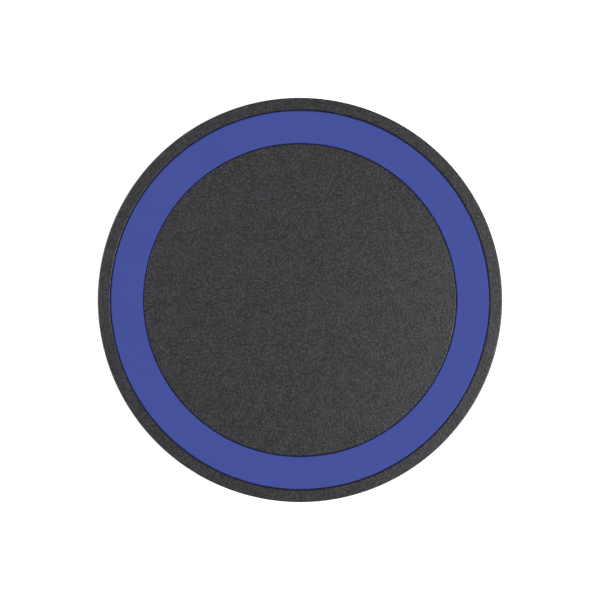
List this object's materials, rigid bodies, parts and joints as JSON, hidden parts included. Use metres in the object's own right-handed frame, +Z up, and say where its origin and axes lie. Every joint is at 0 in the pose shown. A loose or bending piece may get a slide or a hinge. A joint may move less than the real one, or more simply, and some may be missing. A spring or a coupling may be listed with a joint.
{
  "type": "wireless charging pad",
  "caption": "Thin round charging puck with a broad grip ring inlaid in its flat top face, a foot ring underneath and a power socket in its side wall.",
  "frame": {"origin": "on the surface the pad stands on, under the middle of its round outline", "axes": "+Z up, out of the charging face; +Y towards the power socket; the status light is at -Y"},
  "size_m": [0.07, 0.07, 0.01],
  "materials": {
    "black_abs": "fine spark-eroded texture, matte",
    "blue_silicone": "smooth, matte",
    "black_rubber": "matte",
    "adhesive_film": "satin",
    "clear_plastic": "clear, polished",
    "zinc_steel": "zinc plated",
    "litz_copper": "enamelled stranded copper",
    "ferrite": "sintered, satin",
    "board_laminate": "solder mask, satin",
    "chip_epoxy": "moulded epoxy, matte",
    "capacitor_ceramic": "fired, satin",
    "resistor_film": "glassy black",
    "inductor_ferrite": "pressed powder, matte",
    "crystal_can": "nickel plated",
    "led_resin": "cast resin",
    "socket_resin": "moulded",
    "gilded_contact": "gold plated"
  },
  "bodies": {
    "root": {"top_cover": "black_abs", "grip_ring": "blue_silicone", "grip_film": "adhesive_film", "bottom_cover": "black_abs", "foot_ring": "black_rubber", "foot_film": "adhesive_film", "light_pipe": "clear_plastic", "case_screw_1": "zinc_steel", "case_screw_2": "zinc_steel", "case_screw_3": "zinc_steel", "case_screw_4": "zinc_steel", "board_screw_1": "zinc_steel", "board_screw_2": "zinc_steel", "board_screw_3": "zinc_steel", "transmitter_coil": "litz_copper", "coil_film_upper": "adhesive_film", "coil_film_lower": "adhesive_film", "ferrite_shield": "ferrite", "usb_shell": "zinc_steel", "usb_tongue": "socket_resin", "usb_contact_1": "gilded_contact", "usb_contact_2": "gilded_contact", "usb_contact_3": "gilded_contact", "usb_contact_4": "gilded_contact", "usb_contact_5": "gilded_contact", "usb_contact_6": "gilded_contact", "circuit_board": "board_laminate", "controller_chip": "chip_epoxy", "gate_driver_chip": "chip_epoxy", "bridge_mosfet_1": "chip_epoxy", "bridge_mosfet_2": "chip_epoxy", "resonance_capacitor_1": "capacitor_ceramic", "resonance_capacitor_2": "capacitor_ceramic", "resonance_capacitor_3": "capacitor_ceramic", "resonance_capacitor_4": "capacitor_ceramic", "input_capacitor_1": "capacitor_ceramic", "input_capacitor_2": "capacitor_ceramic", "decoupling_capacitor_1": "capacitor_ceramic", "decoupling_capacitor_2": "capacitor_ceramic", "decoupling_capacitor_3": "capacitor_ceramic", "decoupling_capacitor_4": "capacitor_ceramic", "power_inductor": "inductor_ferrite", "sense_resistor": "resistor_film", "crystal": "crystal_can", "thermistor": "resistor_film", "status_led_1": "led_resin", "status_led_2": "led_resin", "led_resistor_1": "resistor_film", "led_resistor_2": "resistor_film", "signal_resistor_1": "resistor_film", "signal_resistor_2": "resistor_film", "signal_resistor_3": "resistor_film", "signal_resistor_4": "resistor_film"}
  },
  "joints": []
}
